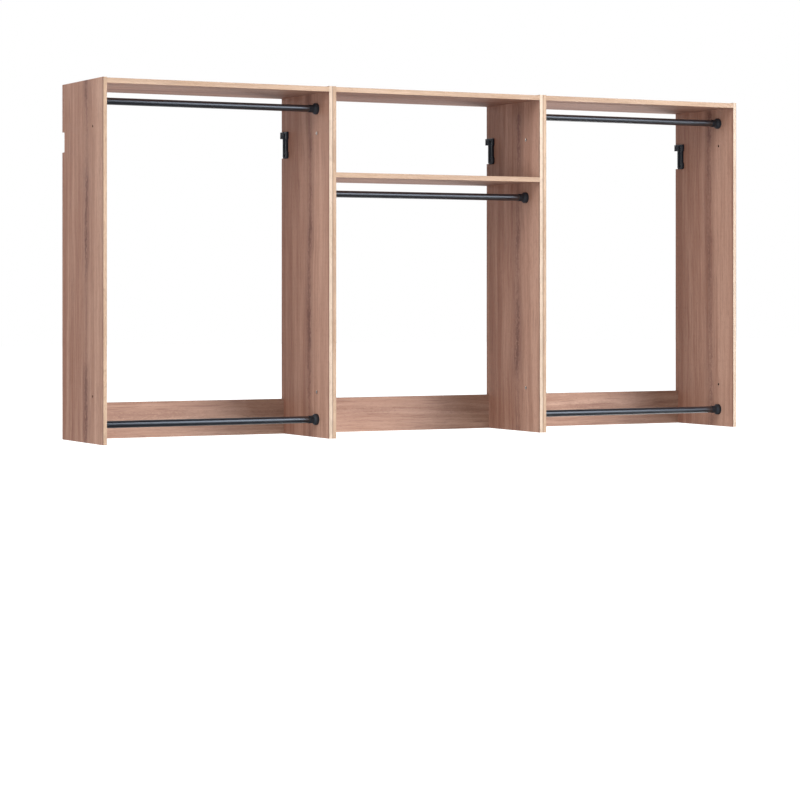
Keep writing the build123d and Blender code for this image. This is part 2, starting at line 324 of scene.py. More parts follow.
SCREW_SEAT, SCREW_GRIP, SCREW_SINK = 4 * MM, 8.8 * MM, 2.1 * MM
SCREW_HEAD, SCREW_SHANK, SCREW_EASE = 4.2 * MM, 2.1 * MM, 0.15 * MM
SCREW_CROSS, SCREW_CROSS_DEPTH = 2.4 * MM, 1.7 * MM
screw_rows = head_stations(
    SCREW_SEAT, SCREW_HEAD, SCREW_EASE, SCREW_CROSS, SCREW_CROSS_DEPTH,
    [(SCREW_SEAT - SCREW_SINK, SCREW_SHANK), (-SCREW_GRIP, SCREW_SHANK), (-SCREW_GRIP, 0)],
)

LINK_HEIGHT, LINK_HEAD, LINK_EASE = 1.8 * MM, 5.5 * MM, 0.8 * MM
LINK_HEXAGON, LINK_HEXAGON_DEPTH = 2.3 * MM, 1.3 * MM
BOLT_SHANK, BOLT_REACH, NUT_SLEEVE, NUT_REACH = 3 * MM, 23.4 * MM, 3.9 * MM, 11 * MM


def link_stations(shank, reach):
    """A low head with a hexagon, on a round shank that reaches so far into the boards."""
    return head_stations(
        LINK_HEIGHT, LINK_HEAD, LINK_EASE, LINK_HEXAGON, LINK_HEXAGON_DEPTH,
        [(0, LINK_HEAD), (0, shank), (-reach, shank), (-reach, 0)],
    )


link_bolt_rows = link_stations(BOLT_SHANK, BOLT_REACH)
link_nut_rows = link_stations(NUT_SLEEVE, NUT_REACH)

CAM_RADIUS, CAM_DEPTH, CAM_BEVEL, CAM_EASE = 7.4 * MM, 12.475 * MM, 0.5 * MM, 0.4 * MM
CAM_FOOT, CAM_CROSS, CAM_CROSS_DEPTH = 6.9 * MM, 4.4 * MM, 2 * MM
cam_rows = head_stations(
    0, CAM_RADIUS, CAM_EASE, CAM_CROSS, CAM_CROSS_DEPTH,
    [(CAM_BEVEL - CAM_DEPTH, CAM_RADIUS), (-CAM_DEPTH, CAM_FOOT), (-CAM_DEPTH, 0)],
)
print("head profiles:", len(screw_rows), len(link_bolt_rows), len(cam_rows), "stations")

# %% [markdown]
# ## Setting the screws and the link bolts
#
# Fasteners of one kind are one piece here, as they are one bag of screws for the fitter. Their places
# follow the boards: the bracket screws sit in the middle of each bracket's head and foot, and the link
# bolts and nuts on the rods' line, at the same height from the panels' top as from their bottom.

# %% Place the screws, bolts and nuts
SCREW_Y = -34.55 * MM
SCREW_Z = [11 * MM, -55.5 * MM]
screw_blocks = [
    turned(screw_rows, (x, SCREW_Y, z), (ways[side], 0, 0), around=64, outline=cross_outline)
    for (unit, side), x in inner_face.items() for z in SCREW_Z
]
bracket_screws = make_piece("bracket_screw_set", screw_blocks, "units", ["bracket_screws"])

LINK_INSET = 145 * MM
panel_low, panel_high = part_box("left_unit_left_panel")
link_heights = [panel_low.z + LINK_INSET, panel_high.z - LINK_INSET]
rod_y = rod_line["middle_rod"].y


def link_set(rows, faces, way):
    """One of a kind at both heights of each inner face, with its head towards the left or the right."""
    return [
        turned(rows, (x, rod_y, z), (way, 0, 0), around=72, outline=hexagon_outline)
        for x in faces for z in link_heights
    ]


bolt_faces = [inner_face["left_unit", "right"], inner_face["middle_unit", "right"]]
nut_faces = [inner_face["middle_unit", "left"], inner_face["right_unit", "left"]]
bolt_blocks = link_set(link_bolt_rows, bolt_faces, ways["right"])
nut_blocks = link_set(link_nut_rows, nut_faces, ways["left"])
link_bolts = make_piece("unit_link_bolt_set", bolt_blocks, "units", ["unit_link_bolts"])
link_nuts = make_piece("unit_link_nut_set", nut_blocks, "units", ["unit_link_nuts"])

# %% [markdown]
# ## The cams
#
# A cam is a short drum in a board that draws in the bolt from the next board when it is turned. Every
# shelf has four, sunk in its top near the corners, and every back rail has two in its rear face, where
# nobody looks. One function sets a cam near a side panel, and the boards' own boxes give the rest.

# %% Place the cams
CAM_FROM_PANEL, CAM_FROM_EDGE = 24 * MM, 60 * MM
UPWARDS, TO_WALL = (0, 0, 1), (0, 1, 0)
shelves = {
    "left_unit_top_shelf": "left_unit",
    "middle_unit_top_shelf": "middle_unit",
    "middle_unit_middle_shelf": "middle_unit",
    "right_unit_top_shelf": "right_unit",
}
front_y = cad_box[0].y


def cam(unit, side, y, z, facing):
    """One cam beside a panel of a unit, at its own y and z, with its cross on the facing side."""
    x = inner_face[unit, side] + ways[side] * CAM_FROM_PANEL
    return turned(cam_rows, (x, y, z), facing, around=64, outline=cross_outline)


cam_blocks = []
for shelf, unit in shelves.items():
    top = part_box(shelf)[1].z
    for side in ways:
        cam_blocks += [cam(unit, side, y, top, UPWARDS) for y in (front_y + CAM_FROM_EDGE, -CAM_FROM_EDGE)]
for unit in units:
    low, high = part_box(f"{unit}_back_rail")
    cam_blocks += [cam(unit, side, high.y, (low.z + high.z) / 2, TO_WALL) for side in ways]
cams = make_piece("cam_lock_set", cam_blocks, "units", ["cam_locks"])

# %% [markdown]
# ## The hanging brackets
#
# Each bracket is a black coated hook: a head that reaches back over the notch to the wall rail, a
# narrower plate beside the notch, and a foot. A slot in its arm takes the lip of the wall rail. The
# outline is traced in the bracket's own plane, with Y towards the wall and Z up from the line where
# the hook bears, and the corners that a hand meets are rounded.

# %% Trace one bracket's outline
BRACKET_WIDTH, OVERHANG = 31 * MM, 4 * MM
ARM_TOP, FOOT_BOTTOM, FOOT_TOP, FOOT_CUT = 22 * MM, -65.5 * MM, -45.5 * MM, 5 * MM
PLATE_REAR = -19.05 * MM
PLATE_FRONT = PLATE_REAR - BRACKET_WIDTH
HEAD_FRONT = PLATE_FRONT - OVERHANG
SLOT_FRONT, SLOT_REAR, SLOT_TOP = -9 * MM, -6 * MM, 8 * MM
CORNER = 2.5 * MM
bracket_corners = [
    ((0, 0), 0), ((0, ARM_TOP), 0), ((HEAD_FRONT, ARM_TOP), CORNER), ((HEAD_FRONT, 0), CORNER),
    ((PLATE_FRONT, -OVERHANG), 0), ((PLATE_FRONT, FOOT_TOP + OVERHANG), 0),
    ((HEAD_FRONT, FOOT_TOP), CORNER), ((HEAD_FRONT, FOOT_BOTTOM + FOOT_CUT), CORNER),
    ((HEAD_FRONT + FOOT_CUT, FOOT_BOTTOM), CORNER), ((PLATE_REAR - FOOT_CUT, FOOT_BOTTOM), CORNER),
    ((PLATE_REAR, FOOT_BOTTOM + FOOT_CUT), CORNER), ((PLATE_REAR, 0), 0), ((SLOT_FRONT, 0), 0),
    ((SLOT_FRONT, SLOT_TOP), 0), ((SLOT_REAR, SLOT_TOP), 0), ((SLOT_REAR, 0), 0),
]
bracket_outline = rounded([c for c, _ in bracket_corners], [r for _, r in bracket_corners])
print("bracket outline:", len(bracket_outline), "points")

# %% [markdown]
# ## Rims, floors and holes of a plate
#
# A plate with soft edges could be bevelled by a modifier, but a section carried along the outline says
# more plainly what the real edge is: a short wall with a quarter round at its top. Each step of that
# section is the outline again, moved inwards and lifted. The flat areas between such bands are filled
# with triangles, round their holes.

# %% Helpers for a plate
def inset(loop, distance):
    """Move a closed loop inwards. Each point goes along the line that halves its corner, by distance
    over the cosine of half its turn, so both sides move by the distance itself."""
    ahead = np.roll(loop, -1, axis=0) - loop
    ahead /= np.linalg.norm(ahead, axis=1, keepdims=True)
    left = np.column_stack([-ahead[:, 1], ahead[:, 0]])
    both = left + np.roll(left, 1, axis=0)
    x, y = loop.T
    turns_left = np.sum(x * np.roll(y, -1) - y * np.roll(x, -1)) > 0
    return loop + (1 if turns_left else -1) * distance * 2 * both / np.sum(both**2, axis=1, keepdims=True)


def band(loops, lifts, worn):
    """A strip of faces between loops of as many points, each at its own lift from the panel."""
    points = np.concatenate([np.insert(loop, 0, lift, axis=1) for loop, lift in zip(loops, lifts)])
    return points, grid_faces(len(loops), len(loops[0])), np.repeat(np.asarray(worn, float), len(loops[0]))


def flat_fill(outer, holes, lift):
    """Fill the area between an outline and its holes with triangles, all at one lift."""
    loops = [[Vector((y, z, 0)) for y, z in loop] for loop in [outer, *holes]]
    points = np.insert(np.concatenate([outer, *holes]), 0, lift, axis=1)
    return points, [list(face) for face in tessellate_polygon(loops)], np.zeros(len(points))


def circle(y, z, radius, around=32):
    """Points of a circle in the bracket's plane."""
    angle = np.linspace(0, 2 * math.pi, around, endpoint=False)
    return np.column_stack([y + radius * np.cos(angle), z + radius * np.sin(angle)])


print("helpers for a plate: inset, band, flat_fill, circle")

# %% [markdown]
# ## One bracket, set six times
#
# A long groove with round ends stiffens the face. It is the rim's idea turned inwards, and a countersink
# for each screw joins its floor to the back. Left and right panels take the same blocks, mirrored, and
# the normals are worked out afresh on each one, because a mirror turns faces inside out.

# %% Shape the bracket and set six of them
BRACKET_THICKNESS, RIM_ROUND = 6 * MM, 1.2 * MM
GROOVE_HALF, GROOVE_DEPTH, GROOVE_MARGIN, GROOVE_LIP = 5.5 * MM, 2 * MM, 5 * MM, 0.5 * MM
SINK_RADIUS, SHANK_HOLE_RADIUS = 4.25 * MM, 2.15 * MM
END_ROUND_SHARE = 0.999
groove_low, groove_high = FOOT_BOTTOM + GROOVE_MARGIN, ARM_TOP - GROOVE_MARGIN
groove = rounded(
    [(SCREW_Y - GROOVE_HALF, groove_low), (SCREW_Y + GROOVE_HALF, groove_low),
     (SCREW_Y + GROOVE_HALF, groove_high), (SCREW_Y - GROOVE_HALF, groove_high)],
    [GROOVE_HALF * END_ROUND_SHARE] * 4, steps=12,
)
quarter = np.linspace(0, math.pi / 2, 6)
rim_insets = RIM_ROUND * (1 - np.cos(quarter))
rim_lifts = BRACKET_THICKNESS - RIM_ROUND * (1 - np.sin(quarter))
groove_floor = BRACKET_THICKNESS - GROOVE_DEPTH
groove_insets = np.append(GROOVE_LIP * (np.sin(quarter) - 1), 0)
groove_lifts = np.append(BRACKET_THICKNESS - GROOVE_LIP * (1 - np.cos(quarter)), groove_floor)
rims = [bracket_outline] + [inset(bracket_outline, d) for d in rim_insets]
walls = [inset(groove, d) for d in groove_insets]
sinks = [circle(SCREW_Y, z, SINK_RADIUS) for z in SCREW_Z]
shank_holes = [circle(SCREW_Y, z, SHANK_HOLE_RADIUS) for z in SCREW_Z]
bracket_blocks = [
    band(rims, [0, *rim_lifts], [0, 0, 0.5, 1, 1, 0.5, 0]),
    flat_fill(rims[-1], [walls[0]], BRACKET_THICKNESS),
    band(walls, groove_lifts, [0, 0.5, 1, 1, 0.5, 0, 0]),
    flat_fill(walls[-1], sinks, groove_floor),
    flat_fill(bracket_outline, shank_holes, 0),
] + [
    band([sink, hole, hole], [groove_floor, groove_floor - SCREW_SINK, 0], [0.6, 0, 0])
    for sink, hole in zip(sinks, shank_holes)
]
black_brackets = []
for (unit, side), x in inner_face.items():
    mirror = (ways[side], 1, 1)
    blocks = [(points * mirror + (x, 0, 0), faces, worn) for points, faces, worn in bracket_blocks]
    node = f"{unit}_{side}_hanging_bracket"
    black_brackets.append(make_piece(node + "_hook", blocks, "units", [node]))

# %% [markdown]
# ## Words for wiring a finish
#
# A finish in Blender is a small circuit of nodes. These helpers add one node, one sum, one noise or one
# mix of colours in a line each, so that the finishes below read like recipes. An input that is given a
# socket is joined to it, and one that is given a number is set to it.

# %% Helpers for the finishes
def plug(tree, value, socket):
    """Join a socket to a socket, or set a number on it."""
    if isinstance(value, bpy.types.NodeSocket):
        tree.links.new(value, socket)
    else:
        socket.default_value = value


def add(tree, kind, options=(), **inputs):
    """Add a node, set its options, and plug its inputs by name, with _ for a space."""
    made = tree.nodes.new("ShaderNode" + kind)
    for option, choice in dict(options).items():
        setattr(made, option, choice)
    for label, value in inputs.items():
        plug(tree, value, made.inputs[label.replace("_", " ")])
    return made


def sums(tree, operation, *values):
    """One step of arithmetic on one to three values."""
    made = tree.nodes.new("ShaderNodeMath")
    made.operation = operation
    for value, socket in zip(values, made.inputs):
        plug(tree, value, socket)
    return made.outputs[0]


def stretched(tree, place, scale):
    """The place with each axis multiplied by its own number."""
    made = tree.nodes.new("ShaderNodeVectorMath")
    made.operation = "MULTIPLY"
    plug(tree, place, made.inputs[0])
    made.inputs[1].default_value = scale
    return made.outputs[0]


def noise(tree, place, scale, detail=2.0, rough=0.5):
    """Smooth noise, with so many waves to the metre along each axis."""
    place = stretched(tree, place, scale)
    return add(tree, "TexNoise", Scale=1.0, Detail=detail, Roughness=rough, Vector=place).outputs["Fac"]


def eased(tree, value, low, high, start=0.0, end=1.0):
    """Start below low, end above high, and a smooth step between them."""
    made = add(
        tree, "MapRange", {"interpolation_type": "SMOOTHSTEP"},
        Value=value, From_Min=low, From_Max=high, To_Min=start, To_Max=end,
    )
    return made.outputs["Result"]


MIX_SHARE, MIX_FIRST, MIX_SECOND, MIX_RESULT = 0, 6, 7, 2


def blended(tree, share, first, second):
    """The first colour where share is 0, the second where it is 1. A Mix node has sockets for numbers,
    vectors and colours, all with the same names, so the ones for colours are picked by number."""
    made = tree.nodes.new("ShaderNodeMix")
    made.data_type = "RGBA"
    for value, index in ((share, MIX_SHARE), (first, MIX_FIRST), (second, MIX_SECOND)):
        plug(tree, value, made.inputs[index])
    return made.outputs[MIX_RESULT]


def grey(level):
    """A grey of so much light, with 0 for black and 1 for white."""
    return (level, level, level, 1)


def new_group(name, takes, gives):
    """A node group with named inputs and outputs. Returns the tree, its inputs and its outputs."""
    kinds = {"vector": "NodeSocketVector", "number": "NodeSocketFloat", "colour": "NodeSocketColor"}
    tree = bpy.data.node_groups.new(name, "ShaderNodeTree")
    for label, (kind, value) in takes.items():
        socket = tree.interface.new_socket(name=label, in_out="INPUT", socket_type=kinds[kind])
        if value is not None:
            socket.default_value = value
    for label, kind in gives.items():
        tree.interface.new_socket(name=label, in_out="OUTPUT", socket_type=kinds[kind])
    return tree, tree.nodes.new("NodeGroupInput").outputs, tree.nodes.new("NodeGroupOutput").inputs


def place_group(tree, group, **inputs):
    """Put a node group into a finish with its own values."""
    made = tree.nodes.new("ShaderNodeGroup")
    made.node_tree = group
    for label, value in inputs.items():
        plug(tree, value, made.inputs[label.replace("_", " ")])
    return made.outputs


print("wiring words ready")

# %% [markdown]
# ## The grain of the boards
#
# The laminate is a print of straight, fine grained wood. Close up it is a bundle of fibres a millimetre
# wide and a hand long, with short dark pores and longer dashes. From a step back there are soft bands.
# All of it is noise stretched along the grain, so X runs across the grain and Z along it. A slow drift
# and a quick wiggle are added to X first, and every fibre, band and pore then bends the same way.

# %% Open the grain group and lay the fibres
DRIFT, WIGGLE = 0.05, 0.010
grain_group, takes, gives = new_group(
    "board grain",
    {
        "Place": ("vector", None), "Heart": ("number", 0.0), "Heart strength": ("number", 1.0),
        "Contrast": ("number", 1.0), "Lift": ("number", 0.0), "Dark": ("colour", (0.3, 0.2, 0.15, 1)),
        "Light": ("colour", (0.5, 0.35, 0.28, 1)), "Heart colour": ("colour", (0.2, 0.1, 0.08, 1)),
    },
    {"Colour": "colour", "Height": "number", "Pores": "number"},
)
tree = grain_group
place = takes["Place"]
parts = add(tree, "SeparateXYZ", Vector=place).outputs
along = parts["Z"]
drift = sums(tree, "SUBTRACT", noise(tree, place, (3, 3, 1.3)), 0.5)
wiggle = sums(tree, "SUBTRACT", noise(tree, place, (14, 5, 9)), 0.5)
shift = sums(tree, "MULTIPLY_ADD", wiggle, WIGGLE, sums(tree, "MULTIPLY", drift, DRIFT))
across = sums(tree, "ADD", parts["X"], shift)
bent = add(tree, "CombineXYZ", X=across, Y=parts["Y"], Z=along).outputs[0]
bands = noise(tree, bent, (30, 9, 1.1), 3.0, 0.6)
strands = noise(tree, bent, (85, 20, 2.0), 4.0, 0.75)
fibres = noise(tree, bent, (950, 200, 11), 2.0, 0.6)
pores = eased(tree, noise(tree, bent, (1500, 300, 60), 1.0), 0.60, 0.70)
dashes = eased(tree, noise(tree, bent, (150, 20, 8), 2.0, 0.6), 0.58, 0.70)
print("fibres, bands and pores:", len(tree.nodes), "nodes")

# %% [markdown]
# ## The heart line
#
# One darker line wanders up each panel, comes and goes, and has a ragged edge with thin flames that
# lick along it. The line is dark where the distance from it, roughened by a noise like torn teeth, is
# less than its own width. A flame is dark where another noise, drawn out along the grain, crosses its
# middle value, and only near the line. Slow patches let both fade and come back.

# %% Draw the heart line
TEETH, HEART_SWELL, HEART_LEAST = 0.055, 0.022, 0.0015
FLAME_FROM, FLAME_TO = 0.008, 0.028
off_heart = sums(tree, "SUBTRACT", across, takes["Heart"])
distance = sums(tree, "ABSOLUTE", off_heart)
teeth = sums(tree, "SUBTRACT", noise(tree, place, (60, 8, 60), 3.0, 0.7), 0.5)
ragged = sums(tree, "ABSOLUTE", sums(tree, "MULTIPLY_ADD", teeth, TEETH, off_heart))
swell = noise(tree, place, (6, 5, 7), 2.0)
heart_width = sums(tree, "MULTIPLY_ADD", swell, HEART_SWELL, HEART_LEAST)
heart = eased(tree, sums(tree, "DIVIDE", ragged, heart_width), 0.1, 1.0, 1.0, 0.0)
patches = eased(tree, noise(tree, place, (9, 5, 4), 2.0), 0.38, 0.60)
heart = sums(tree, "MULTIPLY", heart, sums(tree, "MULTIPLY_ADD", patches, 0.55, 0.45))
flame = sums(tree, "ABSOLUTE", sums(tree, "SUBTRACT", noise(tree, place, (70, 9, 24), 3.0, 0.7), 0.5))
flame = eased(tree, flame, 0.02, 0.09, 1.0, 0.0)
flame = sums(tree, "MULTIPLY", flame, eased(tree, distance, FLAME_FROM, FLAME_TO, 1.0, 0.0))
flame = sums(tree, "MULTIPLY", flame, sums(tree, "MULTIPLY_ADD", patches, 0.50, 0.30))
heart = sums(tree, "MAXIMUM", heart, flame)
print("heart line and flames:", len(tree.nodes), "nodes")

# %% [markdown]
# ## The arches beside it
#
# Nested arches stand on both sides of the heart line, where the growth rings were cut at a slant. They
# are lines of equal height plus the square of the distance from the heart line, which bends each ring
# over like a church window. A power makes each ring fade in slowly and end sharply, as late wood does.

# %% Bend the rings into arches
RING_SPACING, RING_BEND, RING_RIPPLE, RING_POWER = 0.024, 150.0, 0.045, 2.5
ARCHES_FROM, ARCHES_TO = 0.010, 0.055
ripple = noise(tree, place, (60, 8, 16), 2.0)
ring_height = sums(tree, "MULTIPLY_ADD", sums(tree, "MULTIPLY", distance, distance), RING_BEND, along)
ring_height = sums(tree, "MULTIPLY_ADD", ripple, RING_RIPPLE, ring_height)
rings = sums(tree, "FRACT", sums(tree, "DIVIDE", ring_height, RING_SPACING))
rings = sums(tree, "POWER", rings, RING_POWER)
near_heart = eased(tree, distance, ARCHES_FROM, ARCHES_TO, 1.0, 0.0)
arches = sums(tree, "MULTIPLY", near_heart, sums(tree, "MULTIPLY_ADD", patches, 0.45, 0.2))
arches = sums(tree, "MULTIPLY", rings, arches)
# The shadow term is a broad darker band of the print about the heart line, the wood's own tone.
shadow = sums(tree, "MULTIPLY", near_heart, sums(tree, "MULTIPLY_ADD", patches, 0.14, 0.10))
figure = sums(tree, "MAXIMUM", heart, sums(tree, "ADD", arches, shadow))
figure = sums(tree, "MULTIPLY", figure, takes["Heart strength"])
print("arches:", len(tree.nodes), "nodes")

# %% [markdown]
# ## Mixing the print
#
# Bands, strands and fibres are summed by their shares and spread about the middle, and the sum picks a
# tone between the dark and the light colour of the board. The figure and the pores then pull that tone
# towards the colour of the heart line. Fibres stand up a little and pores are sunk, which gives the
# height for the bump.

# %% Mix the print
BAND_SHARE, STRAND_SHARE, FIBRE_SHARE = 0.38, 0.36, 0.26
TONE_SPREAD = 5.2
mixed = sums(tree, "MULTIPLY_ADD", strands, STRAND_SHARE, sums(tree, "MULTIPLY", fibres, FIBRE_SHARE))
mixed = sums(tree, "MULTIPLY_ADD", bands, BAND_SHARE, mixed)
spread = sums(tree, "MULTIPLY", sums(tree, "SUBTRACT", mixed, 0.5), takes["Contrast"])
# On the boards the lift carries a painted light towards the front and a painted shade towards the wall.
tone = sums(tree, "ADD", sums(tree, "MULTIPLY_ADD", spread, TONE_SPREAD, 0.5), takes["Lift"])
tone = add(tree, "Clamp", Value=tone).outputs[0]
colour = blended(tree, tone, takes["Dark"], takes["Light"])
colour = blended(tree, figure, colour, takes["Heart colour"])
pore_share = sums(tree, "MAXIMUM", pores, sums(tree, "MULTIPLY", dashes, 0.75))
pore_share = sums(tree, "MULTIPLY", pore_share, 0.45)
plug(tree, blended(tree, pore_share, colour, takes["Heart colour"]), gives["Colour"])
plug(tree, sums(tree, "SUBTRACT", sums(tree, "MULTIPLY", fibres, 0.4), pores), gives["Height"])
plug(tree, pores, gives["Pores"])
print("board grain:", len(tree.nodes), "nodes")

# %% [markdown]
# ## The sawn core
#
# Where a board was sawn and has no tape, pressed chips show, each with its own tone. A cell pattern
# does this: it breaks the face into cells a few millimetres wide and gives each cell a colour of its
# own, of which one part is enough. A fine dust between them keeps the cells from looking cut out.

# %% Build the sawn core
CHIPS_PER_METRE, DUST_PER_METRE = 420.0, 1800
core_group, takes, gives = new_group(
    "sawn core", {"Place": ("vector", None)}, {"Colour": "colour", "Height": "number"}
)
tree = core_group
chips = add(tree, "TexVoronoi", Scale=CHIPS_PER_METRE, Randomness=1.0, Vector=takes["Place"])
chip_tone = add(tree, "SeparateColor", Color=chips.outputs["Color"]).outputs["Red"]
dust = noise(tree, takes["Place"], (DUST_PER_METRE,) * 3, 2.0)
tone = sums(tree, "MULTIPLY_ADD", dust, 0.35, sums(tree, "MULTIPLY", chip_tone, 0.65))
plug(tree, blended(tree, tone, (0.24, 0.15, 0.09, 1), (0.46, 0.33, 0.21, 1)), gives["Colour"])
plug(tree, sums(tree, "ADD", dust, chips.outputs["Distance"]), gives["Height"])
print("sawn core:", len(tree.nodes), "nodes")

# %% [markdown]
# ## Rubbed edges
#
# Paint rubs thin along the edges that hands and cloth meet. The worn number of each point says where
# that may be, and a noise breaks it up: the mask starts only where both together pass a level, so the
# wear comes in short bright stretches and never as an even line.

# %% Build the rubbed edges
BREAKS_PER_METRE = 700
wear_group, takes, gives = new_group(
    "rubbed edges",
    {"Place": ("vector", None), "Worn": ("number", 0.0), "Amount": ("number", 0.5)},
    {"Mask": "number"},
)
tree = wear_group
breaks = noise(tree, takes["Place"], (BREAKS_PER_METRE,) * 3, 3.0, 0.65)
level = sums(tree, "ADD", takes["Worn"], sums(tree, "MULTIPLY", breaks, 0.7))
mask = eased(tree, level, 1.15, 1.5)
plug(tree, sums(tree, "MULTIPLY", mask, takes["Amount"]), gives["Mask"])
print("rubbed edges:", len(tree.nodes), "nodes")

# %% [markdown]
# ## Handling marks
#
# Every smooth surface carries faint smudges. They hardly change its colour, only how sharply it
# reflects, so this group gives a roughness that moves between a low and a high value in soft clouds.

# %% Build the handling marks
smudge_group, takes, gives = new_group(
    "handling marks",
    {"Place": ("vector", None), "Size": ("number", 0.03), "Low": ("number", 0.2), "High": ("number", 0.3)},
    {"Roughness": "number", "Mask": "number"},
)
tree = smudge_group
scaled = add(tree, "VectorMath", {"operation": "SCALE"}, Scale=sums(tree, "DIVIDE", 1.0, takes["Size"]))
plug(tree, takes["Place"], scaled.inputs[0])
clouds = add(tree, "TexNoise", Scale=1.0, Detail=4.0, Roughness=0.6, Vector=scaled.outputs[0])
mask = eased(tree, clouds.outputs["Fac"], 0.38, 0.66)
spread = sums(tree, "SUBTRACT", takes["High"], takes["Low"])
plug(tree, sums(tree, "MULTIPLY_ADD", mask, spread, takes["Low"]), gives["Roughness"])
plug(tree, mask, gives["Mask"])
print("handling marks:", len(tree.nodes), "nodes")

# %% [markdown]
# ## Opening a wood finish
#
# One recipe makes every board. It turns the object's own coordinates so that the grain runs the way the
# real board was cut: upwards on the side panels, along the row on shelves and back rails. Each word for
# how a board lies names the axes that go across the grain, through the board and along the grain.

# %% Helpers to open a finish
LIES = {"up": "YXZ", "along shelf": "YZX", "along rail": "ZYX"}


def new_finish(name):
    """An empty material with one Principled shader joined to its output."""
    finish = bpy.data.materials.new(name)
    finish.use_nodes = True
    return finish, finish.node_tree, finish.node_tree.nodes["Principled BSDF"]


def grain_place(tree, lie):
    """Object coordinates as they are, and turned so that X runs across the grain and Z along it."""
    place = add(tree, "TexCoord").outputs["Object"]
    parts = add(tree, "SeparateXYZ", Vector=place).outputs
    across, through, along = (parts[axis] for axis in LIES[lie])
    return place, add(tree, "CombineXYZ", X=across, Y=through, Z=along).outputs[0]


print("a board can lie:", ", ".join(LIES))

# %% [markdown]
# ## The laminate
#
# It shows the print on the two broad faces and the sawn core on the rest, told apart by the face's own
# direction. Holes and other closed-in spots of the core get a painted shade, as dark as an ambient
# occlusion node finds them closed in. A thin darker line runs a few millimetres behind the front edge.
# Panels and shelves get a painted light towards the front and a painted shade towards the wall. The
# shelves are a little glossier than the upright boards, and the rails a little paler, a painted light.

# %% Mix the laminate
HEART_COLOUR = (0.150, 0.066, 0.052, 1)
# The hole colour is a painted shade for holes and other closed-in spots of the sawn core.
HOLE_PAINTED_SHADE, EDGE_LINE_COLOUR = (0.025, 0.016, 0.012, 1), (0.15, 0.055, 0.04, 1)
HOLE_REACH = 0.012
EDGE_LINE_FROM, EDGE_LINE_TO = 3.0 * MM, 7.0 * MM
FRONT_PAINTED_LIGHT, REAR_PAINTED_SHADE = 0.24, -0.40
DULL_LOW, DULL_HIGH, GLOSS_SHARE = 0.62, 0.68, 0.4


def laminate(
    name, lie, broad_axis, heart, heart_strength, contrast, front_to_back, dark, light, gloss=0.25
):
    """A wood-look board: print on its two broad faces, chips elsewhere. Where front_to_back is true, a
    painted light lifts the print towards the front and a painted shade deepens it towards the wall, and a
    thin darker line shows a few millimetres behind the front edge."""
    finish, tree, shader = new_finish(name)
    place, grain = grain_place(tree, lie)
    board_y = add(tree, "SeparateXYZ", Vector=place).outputs["Y"]
    # Painted light towards the front and painted shade towards the wall, given to the print as a lift of
    # its tone.
    lift = eased(tree, board_y, front_y, 0.0, FRONT_PAINTED_LIGHT, REAR_PAINTED_SHADE) if front_to_back else 0.0
    print_face = place_group(
        tree, grain_group, Place=grain, Heart=heart, Heart_strength=heart_strength, Contrast=contrast,
        Lift=lift, Dark=dark, Light=light, Heart_colour=HEART_COLOUR,
    )
    core = place_group(tree, core_group, Place=place)
    roughest, smoothest = DULL_HIGH - GLOSS_SHARE * gloss, DULL_LOW - GLOSS_SHARE * gloss
    marks = place_group(tree, smudge_group, Place=place, Size=0.12, Low=smoothest, High=roughest)
    shader.inputs["Specular IOR Level"].default_value = gloss
    normal = add(tree, "SeparateXYZ", Vector=add(tree, "TexCoord").outputs["Normal"]).outputs[broad_axis]
    broad = sums(tree, "GREATER_THAN", sums(tree, "ABSOLUTE", normal), 0.7)
    # Painted shade: the sawn core goes dark where an ambient occlusion node finds it closed in, as in
    # holes.
    openness = add(tree, "AmbientOcclusion", {"samples": 4, "only_local": True}, Distance=HOLE_REACH)
    open_share = eased(tree, openness.outputs["AO"], 0.25, 0.75)
    sawn = blended(tree, open_share, HOLE_PAINTED_SHADE, core["Colour"])
    colour = print_face["Colour"]
    if front_to_back:
        # A thin darker line a few millimetres behind the front edge of the board.
        edge_line = eased(tree, board_y, front_y + EDGE_LINE_FROM, front_y + EDGE_LINE_TO, 0.65, 0.0)
        colour = blended(tree, edge_line, colour, EDGE_LINE_COLOUR)
    plug(tree, blended(tree, broad, sawn, colour), shader.inputs["Base Color"])
    roughness = sums(tree, "MULTIPLY_ADD", print_face["Pores"], 0.12, marks["Roughness"])
    plug(tree, roughness, shader.inputs["Roughness"])
    print_height = sums(tree, "MULTIPLY", print_face["Height"], broad)
    core_height = sums(tree, "MULTIPLY", core["Height"], sums(tree, "SUBTRACT", 1.0, broad))
    height = sums(tree, "ADD", print_height, core_height)
    bump = add(tree, "Bump", Strength=0.35, Distance=0.00012, Height=height)
    plug(tree, bump.outputs[0], shader.inputs["Normal"])
    return finish


PANEL_HEART, SHELF_HEART, RAIL_HEART = -0.212, -0.12, -0.895
DEEP, PALE = (0.300, 0.144, 0.097, 1), (0.530, 0.320, 0.235, 1)
# Painted light: the rails' deep and pale colours are a paler, lit copy of the boards' laminate colours.
LIT_RAIL_DEEP, LIT_RAIL_PALE = (0.300, 0.155, 0.103, 1), (0.545, 0.350, 0.258, 1)
panel_finish = laminate(
    "laminate grain up", "up", "X", heart=PANEL_HEART, heart_strength=0.9, contrast=0.85,
    front_to_back=True, dark=DEEP, light=PALE,
)
shelf_finish = laminate(
    "laminate along the shelf", "along shelf", "Z", heart=SHELF_HEART, heart_strength=0.35, contrast=0.75,
    front_to_back=True, dark=DEEP, light=PALE, gloss=0.32,
)
rail_finish = laminate(
    "laminate along the rail", "along rail", "Y", heart=RAIL_HEART, heart_strength=0.35, contrast=0.70,
    front_to_back=False, dark=LIT_RAIL_DEEP, light=LIT_RAIL_PALE,
)
print("laminates: panel, shelf and rail")

